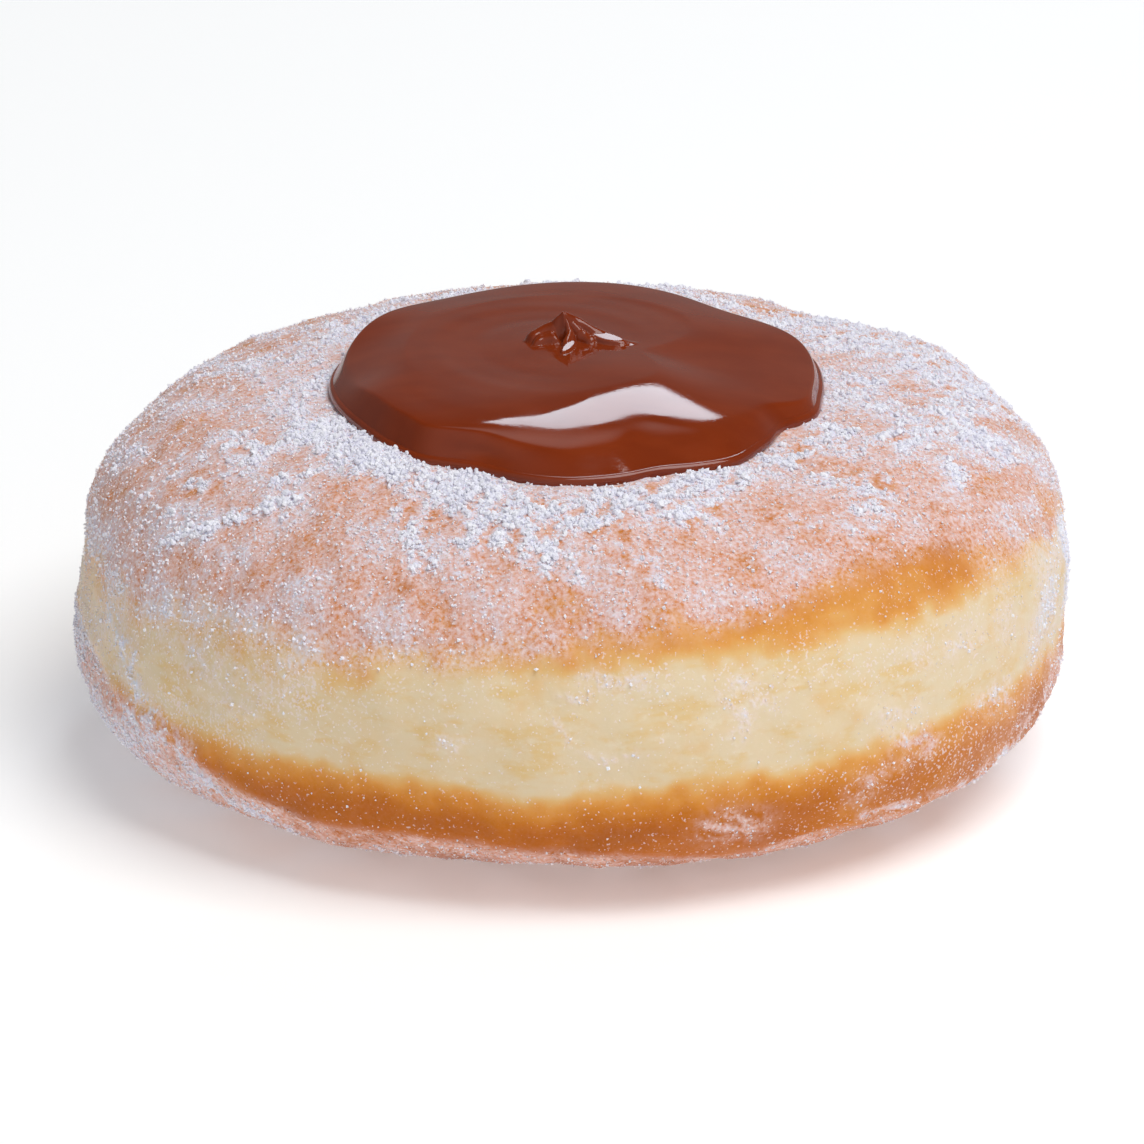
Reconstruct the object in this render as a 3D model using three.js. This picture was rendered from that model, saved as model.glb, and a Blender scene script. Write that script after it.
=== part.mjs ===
// A filled doughnut: a round fried bun, proved and fried until it has a browned
// upper crust, a pale belt round its side and a browned lower crust, and a pool
// of chocolate cream on its crown that ends in a small pulled peak.
// Millimetres, +Z up. The origin is the middle of the flat foot, and -Y is the front.

import * as THREE from 'three';
import { mergeVertices } from 'three/addons/utils/BufferGeometryUtils.js';

// The bun's section is two superellipse quarters that meet at its widest level,
// with a flat foot below and a barely domed crown above.
const BUN_RADIUS = 44;
const WIDEST_LEVEL = 11.7;
const FOOT_RADIUS = 17.4;
const LOWER_ROLL = 2.73;
const CROWN_RISE = 20.85;
const CROWN_RADIUS = 10.3;
const CROWN_DOME = 0.4;
const UPPER_ROLL = 3.15;

// How the dough sits: sheared a little to the right, and slightly higher there.
const LEAN = 0.016;
const SIDE_RISE = 0.006;

// Waves in the plan's radius: how many round the bun, how high, and where they peak.
const PLAN_WAVES = [
  { count: 2, height: 0.2, peak: -77 },
  { count: 3, height: 0.3, peak: -39 },
];

// Swells (and hollows, where the height is negative) on the side and the shoulder:
// the direction and level of each, and its reach round and up the bun.
const SWELLS = [
  { direction: 178, level: 26, height: 0.2, reachRound: 26, reachUp: 6 },
  { direction: 180, level: 16, height: -0.6, reachRound: 32, reachUp: 4 },
  { direction: 60, level: 32, height: -0.8, reachRound: 18, reachUp: 5 },
  { direction: 18, level: 28, height: 0.3, reachRound: 20, reachUp: 6 },
  { direction: 4, level: 24, height: 0.5, reachRound: 24, reachUp: 4 },
  { direction: 0, level: 14, height: -0.5, reachRound: 30, reachUp: 4.5 },
  { direction: -140, level: 4, height: 0.3, reachRound: 22, reachUp: 4 },
  { direction: -98, level: 3.5, height: -0.35, reachRound: 16, reachUp: 4 },
  { direction: 100, level: 17, height: 0.35, reachRound: 30, reachUp: 7 },
];
const SWELLS_START = 25;
const SWELLS_FULL = 31;

// The creases where the crusts meet the pale belt, the ridge where the lower crust
// turns under, and how each of them bends up and down on its way round the bun.
const UPPER_CREASE = { level: 22, depth: 0.35, reach: 1.7 };
const CREASE_SIDE_RISE = 1.1;
const CREASE_HIGH_DIRECTION = -45;
const UPPER_CREASE_BENDS = [
  { direction: -102, height: -2.9, reach: 12 },
  { direction: -75, height: -0.6, reach: 8 },
  { direction: -42, height: 0.6, reach: 22 },
  { direction: 8, height: -3.5, reach: 16 },
  { direction: 176, height: -2.2, reach: 22 },
];
const LOWER_CREASE = { level: 11.4, depth: 0.15, reach: 1.5 };
const LOWER_CREASE_BENDS = [
  { direction: -10, height: 2.3, reach: 52 },
  { direction: 150, height: 1.2, reach: 40 },
];
const UNDER_RIDGE = { level: 6, height: 0.25, reach: 1.2 };
const UNDER_RIDGE_BENDS = [
  { direction: -168, height: 5, reach: 34 },
  { direction: -100, height: 0.8, reach: 14 },
  { direction: -71, height: -0.8, reach: 9 },
  { direction: 0, height: 3.2, reach: 26 },
];

// The pool of chocolate cream: a thick disc with an undercut, rounded rim, whose
// shoulder is short at the back and sides and slopes gently at the front.
const POOL_CENTRE = new THREE.Vector2(0.5, -2.6);
const POOL_RADIUS = 21.8;
const POOL_THICKNESS = 3.5;
const POOL_CLEARANCE = 0.3;
const RIM_WIDEST = 1;
const RIM_UNDERCUT = 0.6;
const RIM_ROLL = 2.3;
const SHOULDER_RUN = 5;
const FRONT_SLOPE = { direction: -58, height: 8, reach: 38 };

// The pool's outline: broad waves, then the lobes and notches along its front.
const OUTLINE_WAVES = [
  { count: 2, height: 0.45, peak: -85 },
  { count: 3, height: 0.25, peak: 30 },
  { count: 4, height: 0.2, peak: 0 },
];
const OUTLINE_LOBES = [
  { direction: 172, height: 0.4, reach: 20 },
  { direction: 95, height: -0.5, reach: 25 },
  { direction: 42, height: -1.5, reach: 24 },
  { direction: 24, height: 1.1, reach: 14 },
  { direction: -138, height: 0.5, reach: 10 },
  { direction: -128, height: 0.6, reach: 5 },
  { direction: -113, height: -0.5, reach: 6 },
  { direction: -93, height: 0.4, reach: 7 },
  { direction: -72, height: -0.6, reach: 5 },
  { direction: -54, height: 0.9, reach: 8 },
  { direction: -31, height: -0.9, reach: 6 },
  { direction: -18, height: 0.5, reach: 6 },
];

// The top of the pool: a shallow dish with a spiral swirl round a pulled peak.
const DISH_RADIUS = 11;
const DISH_DEPTH = 0.45;
const SWIRL_HEIGHT = 0.12;
const SWIRL_SPACING = 5.5;
const PEAK_CENTRE = new THREE.Vector2(-0.85, -0.6);
const PEAK_HEIGHT = 2.9;
const PEAK_RADIUS = 2.9;
const PEAK_TAIL = { reach: 5.2, width: 0.9, height: 0.8 };

// Facets: the divisions round both pieces, and the rings up each of them, which
// crowd together towards the peak on the pool's top.
const DIVISIONS = 90;
const BUN_RINGS = 30;
const POOL_FLOOR_RINGS = 4;
const POOL_RIM_RINGS = 9;
const POOL_TOP_RINGS = 10;
const PEAK_CROWDING = 1.5;
const CURVE_STEPS = 40;
const MERGE_DISTANCE = 0.001;

// The height of a hill that is full at its middle and fades out with distance.
function hill(distance, reach) {
  return Math.exp(-((distance / reach) ** 2));
}

// The angle from one direction to another, in degrees, the short way round.
function turnBetween(angle, direction) {
  return THREE.MathUtils.euclideanModulo(angle - direction + 180, 360) - 180;
}

function sumOfWaves(waves, angle) {
  return waves.reduce(
    (sum, wave) => sum + wave.height * Math.cos(THREE.MathUtils.degToRad(wave.count * (angle - wave.peak))),
    0,
  );
}

// The sum of a ring of hills, each at its own direction, in one direction.
function sumOfHills(hills, angle) {
  return hills.reduce(
    (sum, spot) => sum + spot.height * hill(turnBetween(angle, spot.direction), spot.reach),
    0,
  );
}

// One quarter of a superellipse, from its outermost point to its lowest or highest.
function superellipseQuarter(centre, radii, roll, steps) {
  return Array.from({ length: steps + 1 }, (_, step) => {
    const turn = (step / steps) * (Math.PI / 2);
    const across = Math.max(Math.cos(turn), 0) ** (2 / roll);
    const along = Math.sin(turn) ** (2 / roll);
    return new THREE.Vector2(centre.x + radii.x * across, centre.y + radii.y * along);
  });
}

// Points at even distances along a smooth line through the given ones.
function evenlySpaced(points, rings) {
  return new THREE.SplineCurve(points).getSpacedPoints(rings);
}

function bunSection() {
  const lower = superellipseQuarter(
    new THREE.Vector2(FOOT_RADIUS, WIDEST_LEVEL),
    new THREE.Vector2(BUN_RADIUS - FOOT_RADIUS, -WIDEST_LEVEL),
    LOWER_ROLL,
    CURVE_STEPS,
  );
  const upper = superellipseQuarter(
    new THREE.Vector2(CROWN_RADIUS, WIDEST_LEVEL),
    new THREE.Vector2(BUN_RADIUS - CROWN_RADIUS, CROWN_RISE),
    UPPER_ROLL,
    CURVE_STEPS,
  );
  const dome = [0.5, 0].map((share) => {
    const radius = CROWN_RADIUS * share;
    return new THREE.Vector2(radius, crownSection(radius));
  });
  const side = [...lower.reverse(), ...upper.slice(1), ...dome];
  const section = evenlySpaced(side, BUN_RINGS);
  section[0].y = 0;
  section[section.length - 1].x = 0;
  return [new THREE.Vector2(0, 0), ...section];
}

// The level of the upper half of the section at a radius, before it leans.
function crownSection(radius) {
  const shoulder = WIDEST_LEVEL + CROWN_RISE;
  if (radius <= CROWN_RADIUS) {
    return shoulder + CROWN_DOME * (1 - (radius / CROWN_RADIUS) ** 2);
  }
  const share = Math.min((radius - CROWN_RADIUS) / (BUN_RADIUS - CROWN_RADIUS), 1);
  return WIDEST_LEVEL + CROWN_RISE * (1 - share ** UPPER_ROLL) ** (1 / UPPER_ROLL);
}

// The direction out of the section's surface at one of its points.
function outwardAt(radius, level) {
  const above = level > WIDEST_LEVEL;
  const inner = above ? CROWN_RADIUS : FOOT_RADIUS;
  const rise = above ? CROWN_RISE : -WIDEST_LEVEL;
  const roll = above ? UPPER_ROLL : LOWER_ROLL;
  const across = Math.max((radius - inner) / (BUN_RADIUS - inner), 0);
  const along = Math.max((level - WIDEST_LEVEL) / rise, 0);
  return new THREE.Vector2(
    across ** (roll - 1) / (BUN_RADIUS - inner),
    along ** (roll - 1) / rise,
  ).normalize();
}

// How far the surface stands out of the plain section: swells, creases and the ridge.
function bunRelief(angle, radius, level) {
  const swell = SWELLS.reduce((sum, spot) => {
    const round = hill(turnBetween(angle, spot.direction), spot.reachRound);
    return sum + spot.height * round * hill(level - spot.level, spot.reachUp);
  }, 0);
  const rise = CREASE_SIDE_RISE * Math.cos(THREE.MathUtils.degToRad(angle - CREASE_HIGH_DIRECTION));
  const upperLevel = UPPER_CREASE.level + rise + sumOfHills(UPPER_CREASE_BENDS, angle);
  const lowerLevel = LOWER_CREASE.level + sumOfHills(LOWER_CREASE_BENDS, angle);
  const ridgeLevel = UNDER_RIDGE.level + sumOfHills(UNDER_RIDGE_BENDS, angle);
  const upper = UPPER_CREASE.depth * hill(level - upperLevel, UPPER_CREASE.reach);
  const lower = LOWER_CREASE.depth * hill(level - lowerLevel, LOWER_CREASE.reach);
  const ridge = UNDER_RIDGE.height * hill(level - ridgeLevel, UNDER_RIDGE.reach);
  const share = THREE.MathUtils.smoothstep(radius, SWELLS_START, SWELLS_FULL);
  return share * (swell - upper - lower + ridge);
}

function planScale(angle) {
  return 1 + sumOfWaves(PLAN_WAVES, angle) / BUN_RADIUS;
}

// Where a point of the turned section ends up once the dough has sat and leant.
function settle(radius, level, angle) {
  const turn = THREE.MathUtils.degToRad(angle);
  const out = outwardAt(radius, level).multiplyScalar(bunRelief(angle, radius, level));
  const reach = (radius + out.x) * planScale(angle);
  const straight = reach * Math.cos(turn);
  const height = (level + out.y) * (1 + (SIDE_RISE * straight) / BUN_RADIUS);
  const leant = straight + LEAN * (height - WIDEST_LEVEL);
  return new THREE.Vector3(leant, reach * Math.sin(turn), height);
}

// The height of the bun's crown over a point of its plan.
function crownHeight(x, y) {
  let height = WIDEST_LEVEL + CROWN_RISE;
  for (let round = 0; round < 4; round += 1) {
    const straight = x - LEAN * (height - WIDEST_LEVEL);
    const angle = THREE.MathUtils.radToDeg(Math.atan2(y, straight));
    const radius = Math.hypot(straight, y) / planScale(angle);
    height = crownSection(radius) * (1 + (SIDE_RISE * straight) / BUN_RADIUS);
  }
  return height;
}

// A section turned about the vertical, with every point then moved by place(x, z, angle).
function turnedSolid(section, place) {
  const geometry = new THREE.LatheGeometry(section, DIVISIONS);
  geometry.deleteAttribute('normal');
  geometry.deleteAttribute('uv');
  geometry.rotateX(Math.PI / 2);
  const position = geometry.getAttribute('position');
  for (let index = 0; index < position.count; index += 1) {
    const x = position.getX(index);
    const y = position.getY(index);
    const angle = THREE.MathUtils.radToDeg(Math.atan2(y, x));
    const point = place(Math.hypot(x, y), position.getZ(index), angle);
    position.setXYZ(index, point.x, point.y, point.z);
  }
  const solid = mergeVertices(geometry, MERGE_DISTANCE);
  dropFlatTriangles(solid);
  solid.computeVertexNormals();
  return solid;
}

// Triangles that merging has left with two corners alike, at the axis, are dropped.
function dropFlatTriangles(geometry) {
  const corners = geometry.getIndex().array;
  const kept = [];
  for (let first = 0; first < corners.length; first += 3) {
    const [a, b, c] = corners.slice(first, first + 3);
    if (a !== b && b !== c && c !== a) {
      kept.push(a, b, c);
    }
  }
  geometry.setIndex(kept);
}

// The pool's section: x is the share of the outline's radius, y the height over the crown.
function poolSection() {
  const footShare = 1 - RIM_UNDERCUT / POOL_RADIUS;
  const shoulderShare = 1 - SHOULDER_RUN / POOL_RADIUS;
  const floor = Array.from({ length: POOL_FLOOR_RINGS }, (_, ring) => {
    return new THREE.Vector2((footShare * ring) / POOL_FLOOR_RINGS, 0);
  });
  const under = superellipseQuarter(
    new THREE.Vector2(footShare * POOL_RADIUS, RIM_WIDEST),
    new THREE.Vector2(RIM_UNDERCUT, -RIM_WIDEST),
    2,
    CURVE_STEPS,
  );
  const over = superellipseQuarter(
    new THREE.Vector2(shoulderShare * POOL_RADIUS, RIM_WIDEST),
    new THREE.Vector2(SHOULDER_RUN, POOL_THICKNESS - RIM_WIDEST),
    RIM_ROLL,
    CURVE_STEPS,
  );
  const rim = evenlySpaced([...under.reverse(), ...over.slice(1)], POOL_RIM_RINGS);
  rim.forEach((point) => point.set(point.x / POOL_RADIUS, point.y));
  const top = Array.from({ length: POOL_TOP_RINGS }, (_, ring) => {
    const inwards = (1 - (ring + 1) / POOL_TOP_RINGS) ** PEAK_CROWDING;
    return new THREE.Vector2(shoulderShare * inwards, POOL_THICKNESS);
  });
  return [...floor, ...rim, ...top];
}

function poolRadius(angle) {
  return POOL_RADIUS + sumOfWaves(OUTLINE_WAVES, angle) + sumOfHills(OUTLINE_LOBES, angle);
}

// The share of the pool's radius at which a point over its rim lies in a direction,
// with the shoulder stretched inwards where the front slopes.
function shoulderStretched(share, angle) {
  const run = SHOULDER_RUN + sumOfHills([FRONT_SLOPE], angle);
  const plainStart = 1 - SHOULDER_RUN / POOL_RADIUS;
  const start = 1 - run / POOL_RADIUS;
  if (share <= plainStart) {
    return (share / plainStart) * start;
  }
  return 1 - ((1 - share) / (1 - plainStart)) * (1 - start);
}

// The dish, the swirl and the peak on the pool's top, as a height over its level.
function poolTopRelief(x, y) {
  const fromPeak = Math.hypot(x - PEAK_CENTRE.x, y - PEAK_CENTRE.y);
  const dish = -DISH_DEPTH * hill(fromPeak, DISH_RADIUS);
  const turn = Math.atan2(y - PEAK_CENTRE.y, x - PEAK_CENTRE.x);
  const swirlWave = Math.cos((2 * Math.PI * fromPeak) / SWIRL_SPACING - turn);
  const swirl = SWIRL_HEIGHT * swirlWave * THREE.MathUtils.smoothstep(fromPeak, 2, 6);
  const peak = PEAK_HEIGHT * Math.max(1 - fromPeak / PEAK_RADIUS, 0) ** 1.3;
  const tailLength = Math.max(1 - Math.abs(x - PEAK_CENTRE.x) / PEAK_TAIL.reach, 0);
  const tail = PEAK_TAIL.height * tailLength * hill(y - PEAK_CENTRE.y, PEAK_TAIL.width);
  return dish + swirl + Math.max(peak, tail);
}

// Where a point of the pool's section lies; the rings drift from the peak to the outline.
function spread(plainShare, thickness, angle) {
  const turn = THREE.MathUtils.degToRad(angle);
  const share = thickness > RIM_WIDEST ? shoulderStretched(plainShare, angle) : plainShare;
  const middle = PEAK_CENTRE.clone().lerp(POOL_CENTRE, share);
  const x = middle.x + share * poolRadius(angle) * Math.cos(turn);
  const y = middle.y + share * poolRadius(angle) * Math.sin(turn);
  const onTop = THREE.MathUtils.smoothstep(thickness, RIM_WIDEST, POOL_THICKNESS);
  const height = crownHeight(x, y) + POOL_CLEARANCE + thickness + onTop * poolTopRelief(x, y);
  return new THREE.Vector3(x, y, height);
}

function piece(name, geometry, colour, roughness) {
  const material = new THREE.MeshStandardMaterial({ color: colour, roughness, metalness: 0 });
  const mesh = new THREE.Mesh(geometry, material);
  mesh.name = name;
  return mesh;
}

const doughnut = new THREE.Group();
doughnut.add(piece('bun', turnedSolid(bunSection(), settle), 0xdcb491, 0.85));
doughnut.add(piece('chocolate_topping', turnedSolid(poolSection(), spread), 0x763f30, 0.25));

export default doughnut;
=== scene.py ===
"""The looks of a filled doughnut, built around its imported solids.

The bun is a fried dough with two browned crusts and a pale belt, a pool of glossy
chocolate cream lies on its crown, and powdered sugar lies on it as real grains.
Shapes are worked out in millimetres and placed in metres, in the frame of the solids:
+Z up, -Y the front. On the bun, `angle` is the direction round it in degrees, `run`
the distance down the surface from the middle of the crown, and `level` the height.

A measure that changes round the doughnut is a pair: its base, and its rises and falls
as (direction, height, reach). Unevenness is a list of (height, size, seed)."""
import math

import bmesh
import bpy
import numpy as np
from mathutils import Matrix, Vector
from mathutils.bvhtree import BVHTree


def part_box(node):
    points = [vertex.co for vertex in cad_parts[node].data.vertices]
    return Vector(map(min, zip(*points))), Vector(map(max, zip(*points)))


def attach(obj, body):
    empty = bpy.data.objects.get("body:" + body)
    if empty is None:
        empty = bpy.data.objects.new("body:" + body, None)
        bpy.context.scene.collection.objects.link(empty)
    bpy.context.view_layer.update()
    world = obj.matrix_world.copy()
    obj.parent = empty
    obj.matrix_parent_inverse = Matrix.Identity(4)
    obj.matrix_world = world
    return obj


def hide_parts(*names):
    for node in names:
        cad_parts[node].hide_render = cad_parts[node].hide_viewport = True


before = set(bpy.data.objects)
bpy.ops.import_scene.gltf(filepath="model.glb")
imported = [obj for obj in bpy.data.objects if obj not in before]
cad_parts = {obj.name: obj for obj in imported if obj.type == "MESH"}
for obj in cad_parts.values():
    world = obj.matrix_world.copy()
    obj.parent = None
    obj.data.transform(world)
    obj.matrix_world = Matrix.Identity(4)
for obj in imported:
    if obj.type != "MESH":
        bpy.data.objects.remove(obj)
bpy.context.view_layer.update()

MM = 0.001

# The camera: its place and aim in millimetres, and how far it sees in metres.
CAMERA_PLACE = (0, -561.3, 232.1)
CAMERA_AIM = (-0.09, -1.79, 15.26)
CAMERA_LENS = 214
CAMERA_SENSOR = 36
CAMERA_REACH = 100

# The lights. The strip stands behind the doughnut, rolled about the way it faces, and its
# reflection lies on the front of the cream.
KEY_LIGHT = {"place": (340, -220, 880), "target": (0, 0, 20), "size": (650, 650), "power": 6.75}
STRIP_LIGHT = {
    "place": (68, 582, 564),
    "target": (5, -15, 35),
    "size": (116, 228),
    "power": 0.57,
    "colour": (0.9, 1.03, 1.14),
}
STRIP_ROLL = -48

# How bright the studio is: low down and high up at the back, and at the front, with the
# share of it that is left towards the left, towards the right, and straight to either side.
BACK_LOW = 0.24
BACK_HIGH = 0.04
FRONT_BRIGHTNESS = 0.55
LEFT_SHARE = 0.94
RIGHT_SHARE = 1.01
SIDEWAYS_SHARE = 0.68

# A soft glow in the studio above the strip light: its direction, how wide and how bright.
GLOW_DIRECTION = (0.0, 0.47, 0.88)
GLOW_EDGE = 0.965
GLOW_STRENGTH = 1.05

# The floor: half its width, and its level just under the doughnut.
FLOOR_HALF = 4000
FLOOR_LEVEL = -0.02

# The grid of the bun: the level its rays start from, how finely its profile is measured,
# its columns, its rows as stretches of run with their spacing, the room they leave in the
# middle of the foot, and the direction of the front, where the profile is measured.
RAYS_LEVEL = 16.5
PROFILE_RAYS = 900
STEEPEST_RAY = 89.9
BUN_COLUMNS = 640
BUN_ROWS = [(0, 17, 2.4), (17, 22, 0.7), (22, 63, 0.42), (63, 75, 0.65), (75, 90, 1.5)]
LAST_ROW_ROOM = 0.3
FRONT = -90

# The pale belt: the levels of its borders, how the upper one leans to one side, and how
# wide the upper crust fades into it at the left and at the right.
BELT_TOP = (22, [
    (-152, -2.7, 14), (-122, -2.3, 11), (-102, -0.8, 8), (-66, -0.8, 9), (-40, -0.9, 15),
    (8, -3.5, 16), (176, -3.0, 22),
])
BELT_TOP_LEAN = {"height": 1.1, "direction": -45}
BELT_BOTTOM = (11.4, [(-92, -0.7, 14), (-48, 1.0, 22), (8, 1.2, 34), (150, 1.2, 40)])
FADE_LEFT = 7.0
FADE_RIGHT = 2.6

# The level of the soft edge below which the lower crust turns under.
RIDGE_LEVEL = (6.0, [(-168, 7.5, 34), (-100, 0.8, 14), (-71, -0.8, 9), (0, 3.2, 26)])

# How brown each crust is next to the belt, and how much browner further off, from 0 to 1,
# with the millimetres above or below the belt over which each sets in.
UPPER_BROWN = 0.36
UPPER_DEEPER = 0.18
UPPER_DEEPENS = (0.8, 6)
LOWER_BROWN = 0.34
LOWER_STARTS = (-2.3, 0.5)
LOWER_DEEPER = (0.2, [(-96, 0.28, 36), (-18, 0.2, 20), (-162, 0.24, 30)])
LOWER_DEEPENS = (-0.4, 3.2)

# How thick the film of sugar is, from 0 to 1: everywhere, over the upper crust, under the
# ridge, on the belt at both sides and more at the right, and next to the cream. Each sets
# in over a few millimetres of level, and by the cream over a stretch of run.
SUGAR_LEAST = 0.01
SUGAR_TOP = (0.39, [(-165, 0.13, 55), (-4, 0.1, 36)])
TOP_STARTS = (-1.4, 1.8)
SUGAR_UNDER = (0.27, [(-170, 0.28, 46)])
UNDER_STARTS = (-0.3, 1.0)
SUGAR_SIDES = {"amount": 0.34, "direction": -2, "reach": 26}
SUGAR_RIGHT = (0, [(-9, 0.46, 17)])
RIGHT_STARTS = (1, -2)
SUGAR_BY_CREAM = (0.15, [(-122, 0.12, 46), (-46, -0.16, 32)])
BY_CREAM_STARTS = (33, 24)

# How wide a strip of the upper crust stays bare over the belt, in millimetres.
BARE_STRIP = (0, [(-46, 4.5, 36)])

# How thickly single grains lie: everywhere, by the upper crust's border, on the left of
# the belt, at the right, and low down at the right. The sides set in over a stretch of
# degrees from the front, and the border's grains lie a little below it.
SPRINKLE = {"all": 0.25, "border": 0.3, "left": 0.5, "right": 0.1, "low_right": 0.3}
LEFT_TURNS = (-10, -50)
RIGHT_TURNS = (10, 45)
LOW_STARTS = (-1, 1)
BORDER_GRAINS = {"below": 1.5, "reach": 2.4}

# Unevenness of the bun's colours and sugar.
RAGGED_BORDERS = [(0.3, 8, 11), (0.2, 2.6, 12)]
BROWN_MOTTLE = [(0.03, 9, 13), (0.02, 2.2, 14)]
BROWN_PATCHES = [(0.025, 8, 18)]
SOFT_DRIFTS = [(1, 6, 15)]
CRUMBS = [(0.7, 1.9, 16), (0.7, 0.9, 19)]
BELT_DRIFTS = [(0.35, 7, 28)]

# Unevenness of the bun's surface, in millimetres, and the parts of its relief: the crusts
# from where they start to brown, the ridge, and sugar that is thick enough to cake. It
# fades out down to the flat foot.
BUN_SWELLS = [(0.16, 17, 21), (0.05, 7, 22)]
CRUST_PUCKERS = [(0.05, 3.4, 23), (0.03, 1.7, 24)]
BELT_FOLDS = [(0.035, 5, 25)]
RIDGE_WANDER = [(0.3, 8, 26)]
CAKED_LUMPS = [(0.12, 1.1, 27)]
CRUST_BROWNING = (0.1, 0.45)
CRUST_STEP = 0.1
RIDGE_BEAD = {"height": 0.2, "reach": 0.8}
RIDGE_GROOVE = {"depth": 0.12, "below": 1.5, "reach": 0.9}
CAKED_FROM = 0.45
CAKED_HEIGHT = 0.18
FOOT_LEVELS = (0.25, 2.5)

# Where sugar lies thicker: from and to (angle, run), the width in millimetres, and how much.
SUGAR_MARKS = [
    ((-155, 23.5), (-132, 25.0), 2.4, 0.55),
    ((-132, 25.5), (-112, 27.5), 2.2, 0.5),
    ((-112, 26.5), (-98, 29.0), 1.8, 0.5),
    ((-98, 29.5), (-84, 28.0), 2.0, 0.45),
    ((-84, 27.3), (-61, 25.7), 1.8, 0.5),
    ((-61, 26.0), (-28, 25.2), 1.8, 0.4),
    ((-100, 33.2), (-94, 34.4), 2.0, 0.65),
    ((-104, 32.0), (-106, 34.5), 1.1, 0.5),
    ((-90, 31.0), (-86, 32.2), 1.4, 0.4),
    ((-112, 35.5), (-110, 37.6), 1.0, 0.5),
    ((-118, 31.5), (-114, 33.5), 1.2, 0.4),
    ((-93, 37.5), (-90, 37.8), 0.8, 0.3),
    ((-83, 34.2), (-79, 38.4), 1.3, 0.3),
    ((-73, 31.0), (-69, 32.5), 1.3, 0.4),
    ((-147, 41.6), (-141, 37.4), 1.0, 0.4),
    ((-141, 37.4), (-135, 33.0), 0.9, 0.4),
    ((-158, 37.0), (-151, 36.6), 0.6, 0.4),
    ((-151, 36.6), (-150, 34.0), 0.6, 0.35),
    ((-161, 31.5), (-152, 30.0), 1.8, 0.35),
    ((-141, 31.5), (-138, 30.0), 1.2, 0.4),
    ((-45, 30.6), (-38, 32.6), 2.0, 0.4),
    ((-26, 30.5), (-18, 30.9), 1.8, 0.4),
    ((-9, 32.7), (-11, 37.5), 1.6, 0.4),
    ((-27, 36.0), (-24, 35.7), 1.2, 0.3),
    ((-50, 36.5), (-41, 34.9), 1.4, 0.3),
    ((-57, 34.3), (-54, 34.6), 1.1, 0.35),
    ((-88, 46.8), (-83, 47.0), 1.0, 0.4),
    ((-91, 48.0), (-89, 48.4), 0.5, 0.35),
    ((-73, 49.1), (-71, 47.6), 0.9, 0.35),
    ((-72, 52.4), (-71, 50.4), 0.8, 0.3),
    ((-105, 52.5), (-102, 52.7), 0.7, 0.35),
    ((-92, 50.0), (-90, 52.2), 0.3, 0.35),
    ((-90, 52.2), (-87, 53.6), 0.3, 0.45),
    ((-87, 53.6), (-83, 53.0), 0.35, 0.4),
    ((-43, 49.0), (-39, 49.2), 1.0, 0.35),
    ((-49, 48.4), (-47, 49.5), 0.8, 0.25),
    ((-70, 49.5), (-68, 49.9), 1.2, 0.25),
    ((-54, 53.0), (-50, 53.2), 1.2, 0.25),
    ((-51, 55.3), (-48, 56.2), 1.2, 0.45),
    ((-39, 55.5), (-36, 55.2), 1.0, 0.4),
    ((-34, 54.1), (-33, 56.0), 1.0, 0.35),
    ((-57, 58.8), (-53, 57.6), 1.3, 0.3),
    ((-74, 60.2), (-70, 60.6), 1.6, 0.35),
    ((-56, 61.7), (-38, 62.2), 0.5, 0.5),
    ((-38, 62.2), (-21, 59.5), 0.7, 0.55),
    ((-142, 49.1), (-124, 49.5), 2.2, 0.26),
    ((-137, 51.2), (-129, 53.5), 2.0, 0.24),
    ((-157, 51.0), (-149, 53.1), 1.3, 0.5),
    ((-149, 53.1), (-146, 57.0), 1.5, 0.52),
    ((-146, 57.0), (-139, 58.3), 1.4, 0.46),
    ((-137, 61.8), (-126, 64.8), 1.0, 0.5),
    ((118, 25.3), (165, 25.6), 3.0, 0.14),
    ((-12, 33.5), (45, 31.5), 4.5, 0.24),
    ((25, 27.0), (85, 26.0), 3.5, 0.24),
    ((12, 38.0), (70, 31.0), 5.0, 0.22),
    ((-86, 30.5), (-66, 29.5), 2.0, 0.3),
    ((-112, 30.0), (-102, 31.0), 1.4, 0.3),
]

# The most sugar that marks add up to, and how far a degree round the bun is taken to be.
MOST_IN_MARKS = 0.6
MM_PER_DEGREE = 0.66

# The marks scattered round the back: how many, the runs they start at and how they crowd
# towards the cream, how far they turn and fall, their widths, and how much sugar they add.
BACK_MARKS = 46
BACK_RUNS = (24, 40)
BACK_CROWDING = 1.8
BACK_TURN = 6
BACK_FALL = 2.5
BACK_WIDTHS = (1.0, 2.8)
BACK_AMOUNTS = (0.08, 0.28)
BACK_SEED = 17


# ---------------------------------------------------------------- shaping helpers


def hill(distance, reach):
    """Full at the middle and fading out with distance."""
    return np.exp(-((distance / reach) ** 2))


def turn_between(angle, direction):
    """The angle from one direction to another, the short way round, in degrees."""
    return (angle - direction + 180) % 360 - 180


def around(angle, measure):
    """A measure that changes round the doughnut, from its base and its rises and falls."""
    base, rises = measure
    return base + sum(
        height * hill(turn_between(angle, direction), reach) for direction, height, reach in rises
    )


def smooth_step(value, low, high):
    """From 0 to 1 between two values, which may also run down."""
    share = np.clip((value - low) / (high - low), 0, 1)
    return share * share * (3 - 2 * share)


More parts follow.
